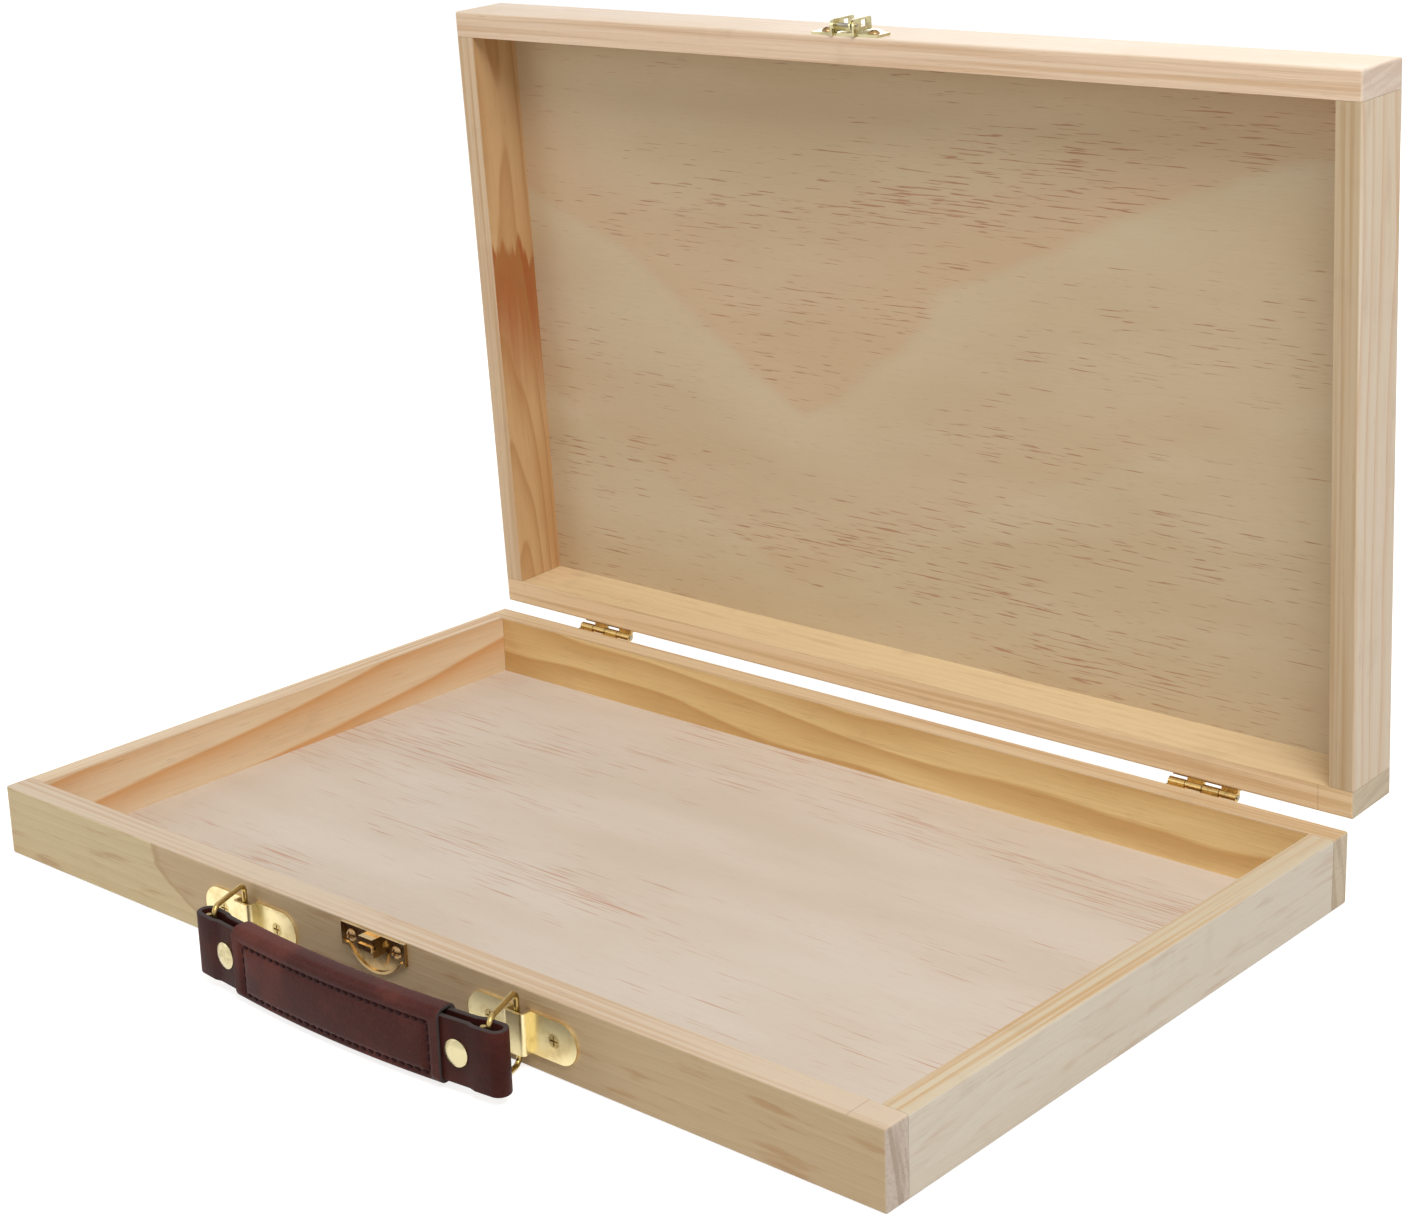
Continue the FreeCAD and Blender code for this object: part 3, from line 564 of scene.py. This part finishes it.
# strap: a strip folded round both rings, its tails behind the front layer
strap = dict(thick=0.0017, width=0.020, half=0.0665, fold=0.0029, loop=0.0036, flareStart=0.0543,
             flareEnd=0.0566, tail=0.0225, soft=0.0005, foldSteps=14, bendCuts=14, weld=0.00001,
             rimFacing=0.9, cutFacing=0.4)


def strapPiece():
    work = bmesh.new()
    end = strap["half"] - strap["loop"]
    bottom = -strap["width"] / 2
    outline = [(strap["flareStart"], strap["fold"]), (strap["flareEnd"], strap["loop"]),
               (end, strap["loop"])]
    behind = [work.verts.new((x, y, bottom)) for x, y in [(strap["tail"], strap["fold"])] + outline]
    fold = bmesh.ops.spin(work, geom=behind[-1:], cent=(end, 0, bottom), axis=(0, 0, -1), angle=math.pi,
                          steps=strap["foldSteps"])
    front = fold["geom_last"][:1]
    front += [work.verts.new((x, -y, bottom)) for x, y in outline[1::-1] + [(0, strap["fold"])]]
    for line in (behind, front):
        for pair in zip(line, line[1:]):
            work.edges.new(pair)
    bmesh.ops.mirror(work, geom=work.verts[:] + work.edges[:], axis="X", merge_dist=strap["weld"])
    longEdges = [edge for edge in work.edges if edge.calc_length() > strap["tail"]]
    bmesh.ops.subdivide_edges(work, edges=longEdges, cuts=strap["bendCuts"])
    raised = bmesh.ops.extrude_edge_only(work, edges=work.edges[:])["geom"]
    raisedVerts = [part for part in raised if isinstance(part, bmesh.types.BMVert)]
    bmesh.ops.translate(work, vec=(0, 0, strap["width"]), verts=raisedVerts)
    bmesh.ops.recalc_face_normals(work, faces=work.faces[:])
    bmesh.ops.solidify(work, geom=work.faces[:], thickness=strap["thick"])
    work.normal_update()
    softEdges(work, lambda face: abs(face.normal.z) > strap["rimFacing"], strap["soft"])
    markCut(work, lambda face: abs(face.normal.z) > strap["cutFacing"])
    for vert in work.verts:
        vert.co = bowed(vert.co)
    return newPiece("strapLeather", work, leatherPaint["strapLeather"], "handle")


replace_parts(strapPiece(), "handle_strap")

# sleeve: soft leather drawn round a filler, sunk along the stitching
sleeve = dict(half=0.0445, skin=0.0012, corner=0.0030, cornerSteps=8, topStitch=0.0050, lowStitch=0.0025,
              endStitch=0.0046, groove=0.0007, grooveWidth=0.0009, puff=0.0005, puffRise=0.0030, soft=0.0003,
              columns=140, rows=46, longEdge=1.5, faceRise=4, rimFacing=0.9, cutFacing=0.6)
stitchTop = gripTall - sleeve["topStitch"]
stitchLow = sleeve["lowStitch"] - gripTall
stitchEnd = sleeve["half"] - sleeve["endStitch"]


def standOff(x, z):
    # how far the leather stands off its flat face
    outside = max(abs(x) - stitchEnd, z - stitchTop, stitchLow - z)
    sunk = math.exp(-(outside / sleeve["grooveWidth"]) ** 2)
    padded = 1 - math.exp(-abs(outside) / sleeve["puffRise"])
    return sleeve["puff"] * (padded - 1) - sleeve["groove"] * sunk


def sleevePiece():
    work = bmesh.new()
    bmesh.ops.create_cube(work, size=1.0)
    bmesh.ops.scale(work, vec=(2 * sleeve["half"], handle["gripThick"], 2 * gripTall), verts=work.verts[:])
    ends = [face for face in work.faces if abs(face.normal.x) > sleeve["rimFacing"]]
    bmesh.ops.delete(work, geom=ends, context="FACES_ONLY")

    def along(axis):
        spans = [(edge, edge.verts[1].co - edge.verts[0].co) for edge in work.edges]
        return [edge for edge, span in spans if abs(span[axis]) > sleeve["corner"] * sleeve["longEdge"]]

    bmesh.ops.bevel(work, geom=along(0), offset=sleeve["corner"], segments=sleeve["cornerSteps"],
                    profile=0.5, affect="EDGES", material=-1)
    bmesh.ops.subdivide_edges(work, edges=along(2), cuts=sleeve["rows"], use_grid_fill=True)
    bmesh.ops.subdivide_edges(work, edges=along(0), cuts=sleeve["columns"], use_grid_fill=True)
    for vert in work.verts:
        faceShare = min(1.0, max(0.0, abs(vert.co.y) / handle["gripThick"] * sleeve["faceRise"] - 1))
        vert.co.y += math.copysign(1, vert.co.y) * standOff(vert.co.x, vert.co.z) * faceShare
    bmesh.ops.recalc_face_normals(work, faces=work.faces[:])
    bmesh.ops.solidify(work, geom=work.faces[:], thickness=sleeve["skin"])
    work.normal_update()
    softEdges(work, lambda face: abs(face.normal.x) > sleeve["rimFacing"], sleeve["soft"])
    markCut(work, lambda face: abs(face.normal.x) > sleeve["cutFacing"])
    for vert in work.verts:
        vert.co = bowed(vert.co)
    return newPiece("gripSleeve", work, leatherPaint["sleeveLeather"], "handle")


grip = sleevePiece()
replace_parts(grip, "handle_grip_sleeve")

# stitches: short threads in the groove, on both faces; lean is in degrees
# the thread tones are its dark red colour, drawn darker with painted shade of the stitch holes
stitching = dict(pitch=0.0030, length=0.0022, radius=0.0005, lift=0.0002, lean=7, around=8, along=6,
                 dark=(30, 9, 10), light=(58, 20, 20), twist=2200.0, fuzz=6000.0, rough=0.6, fuzzRough=0.2,
                 fuzzHeight=0.4, bump=0.5, bumpDepth=0.0002, specular=0.2)


def thread():
    paint = Paint("stitchThreadPaintedShade")
    twist = paint.noise(paint.point, stitching["twist"])
    fuzz = paint.noise(paint.point, stitching["fuzz"])
    # dark red thread, darkened by painted shade of the stitch holes
    color = paint.mix(twist, tone(*stitching["dark"]), tone(*stitching["light"]))
    rough = stitching["rough"] + fuzz * stitching["fuzzRough"]
    height = twist + fuzz * stitching["fuzzHeight"]
    return paint.finish(color, rough, height, stitching["bump"], stitching["bumpDepth"],
                        Specular_IOR_Level=stitching["specular"])


def stitchPiece():
    work = bmesh.new()
    across = int(2 * stitchEnd / stitching["pitch"])
    upward = int((stitchTop - stitchLow) / stitching["pitch"])
    places = []
    for i in range(across):
        x = -stitchEnd + (i + 0.5) * 2 * stitchEnd / across
        places += [(x, stitchTop, 0), (x, stitchLow, 0)]
    for i in range(upward):
        z = stitchLow + (i + 0.5) * (stitchTop - stitchLow) / upward
        places += [(stitchEnd, z, 90), (-stitchEnd, z, 90)]
    stretch = Matrix.Diagonal((stitching["length"] / (2 * stitching["radius"]), 1, 1, 1))
    for side in (-1, 1):
        for x, z, turn in places:
            bead = bmesh.ops.create_uvsphere(work, u_segments=stitching["around"],
                                             v_segments=stitching["along"], radius=stitching["radius"])
            turned = Matrix.Rotation(math.radians(turn + stitching["lean"]), 4, "Y")
            face = handle["gripThick"] / 2 + standOff(x, z) + stitching["lift"]
            placed = Matrix.Translation((x, side * face, z)) @ turned @ stretch
            bmesh.ops.transform(work, matrix=placed, verts=bead["verts"])
    for vert in work.verts:
        vert.co = bowed(vert.co)
    newPiece("gripStitches", work, thread(), "handle")


stitchPiece()

# filler inside the grip
fillerLook = dict(dark=(60, 48, 40), light=(98, 82, 68), cell=dict(scale=900.0, detail=3.0),
                  rough=0.8, cellRough=0.1, bump=0.3, bumpDepth=0.0003)


def filler():
    paint = Paint("gripFiller")
    cell = paint.noise(paint.point, **fillerLook["cell"])
    color = paint.mix(cell, tone(*fillerLook["dark"]), tone(*fillerLook["light"]))
    rough = fillerLook["rough"] + cell * fillerLook["cellRough"]
    return paint.finish(color, rough, cell, fillerLook["bump"], fillerLook["bumpDepth"])


dress(["handle_grip_core"], filler())
print("stage: handle")

# floor, light and camera
stageLook = dict(floor=(196, 194, 190), floorSize=6.0, floorDrop=0.0002, floorRough=0.9, floorSpecular=0.1,
                 floorGlow=0.78, sky=0.44)


def background(start, dark):
    # white for rays that show the background, straight, mirrored or through glass, and dark for the rest
    kinds = ("Is Camera Ray", "Is Glossy Ray", "Is Transmission Ray")
    seen = [start.add("ShaderNodeLightPath", {}, kind) for kind in kinds]
    shown = (seen[0] + seen[1] + seen[2]).clip()
    return start.add("ShaderNodeMix", {0: shown, 6: (dark, dark, dark, 1), 7: (1, 1, 1, 1)}, 2,
                     data_type="RGBA")


def makeFloor():
    work = bmesh.new()
    bmesh.ops.create_grid(work, x_segments=1, y_segments=1, size=stageLook["floorSize"])
    mesh = bpy.data.meshes.new("floor")
    work.to_mesh(mesh)
    work.free()
    floor = bpy.data.objects.new("floor", mesh)
    floor.location.z = -stageLook["floorDrop"]
    scene.collection.objects.link(floor)
    material = bpy.data.materials.new("paleFloor")
    material.use_nodes = True
    tree = material.node_tree
    shader = tree.nodes["Principled BSDF"]
    shader.inputs["Base Color"].default_value = tone(*stageLook["floor"])
    shader.inputs["Roughness"].default_value = stageLook["floorRough"]
    shader.inputs["Specular IOR Level"].default_value = stageLook["floorSpecular"]
    shader.inputs["Emission Strength"].default_value = stageLook["floorGlow"]
    tree.links.new(background(Wire(tree, None), 0).socket, shader.inputs["Emission Color"])
    mesh.materials.append(material)


def makeWorld():
    world = bpy.data.worlds.new("studio")
    scene.world = world
    world.use_nodes = True
    tree = world.node_tree
    color = background(Wire(tree, None), stageLook["sky"])
    tree.links.new(color.socket, tree.nodes["Background"].inputs["Color"])


lights = {
    "keyLight": dict(place=(0.70, -0.40, 1.20), aim=(0.0, 0.02, 0.08), size=0.8, power=12.8),
    "fillLight": dict(place=(-0.65, -0.75, 0.45), aim=(-0.1, 0.0, 0.08), size=0.5, power=1.2),
    "backLight": dict(place=(-0.5, 1.5, 0.5), aim=(0.0, 0.1, 0.1), size=1.2, power=7.0),
}


def makeLight(name, look):
    data = bpy.data.lights.new(name, "AREA")
    data.shape = "DISK"
    data.size = look["size"]
    data.energy = look["power"]
    lamp = bpy.data.objects.new(name, data)
    scene.collection.objects.link(lamp)
    lamp.location = look["place"]
    aim = Vector(look["aim"]) - Vector(look["place"])
    lamp.rotation_euler = aim.to_track_quat("-Z", "Y").to_euler()


# angles in degrees, focal length and middle in the photograph's pixels
camera = dict(place=(0.5645, -0.5914, 0.3627), yaw=41.31, pitch=16.22, roll=-1.705, focal=2678.6,
              middle=(744.2, 510.4), picture=(1407, 1218), sensor=36.0, near=0.01)


def makeCamera():
    yaw, pitch, roll = (math.radians(camera[k]) for k in ("yaw", "pitch", "roll"))
    ahead = Vector((-math.sin(yaw) * math.cos(pitch), math.cos(yaw) * math.cos(pitch), -math.sin(pitch)))
    right = Vector((math.cos(yaw), math.sin(yaw), 0))
    up = right.cross(ahead)
    tiltedRight = right * math.cos(roll) + up * math.sin(roll)
    tiltedUp = up * math.cos(roll) - right * math.sin(roll)
    data = bpy.data.cameras.new("photoCamera")
    eye = bpy.data.objects.new("photoCamera", data)
    scene.collection.objects.link(eye)
    turn = Matrix((tiltedRight, tiltedUp, -ahead)).transposed()
    eye.matrix_world = Matrix.Translation(camera["place"]) @ turn.to_4x4()
    wide, tall = camera["picture"]
    data.sensor_width = camera["sensor"]
    data.lens = camera["focal"] / wide * camera["sensor"]
    data.shift_x = (wide / 2 - camera["middle"][0]) / wide
    data.shift_y = (camera["middle"][1] - tall / 2) / wide
    data.clip_start = camera["near"]
    scene.camera = eye


makeFloor()
makeWorld()
for name, look in lights.items():
    makeLight(name, look)
makeCamera()
scene.view_settings.view_transform = "Standard"
print("stage: studio")
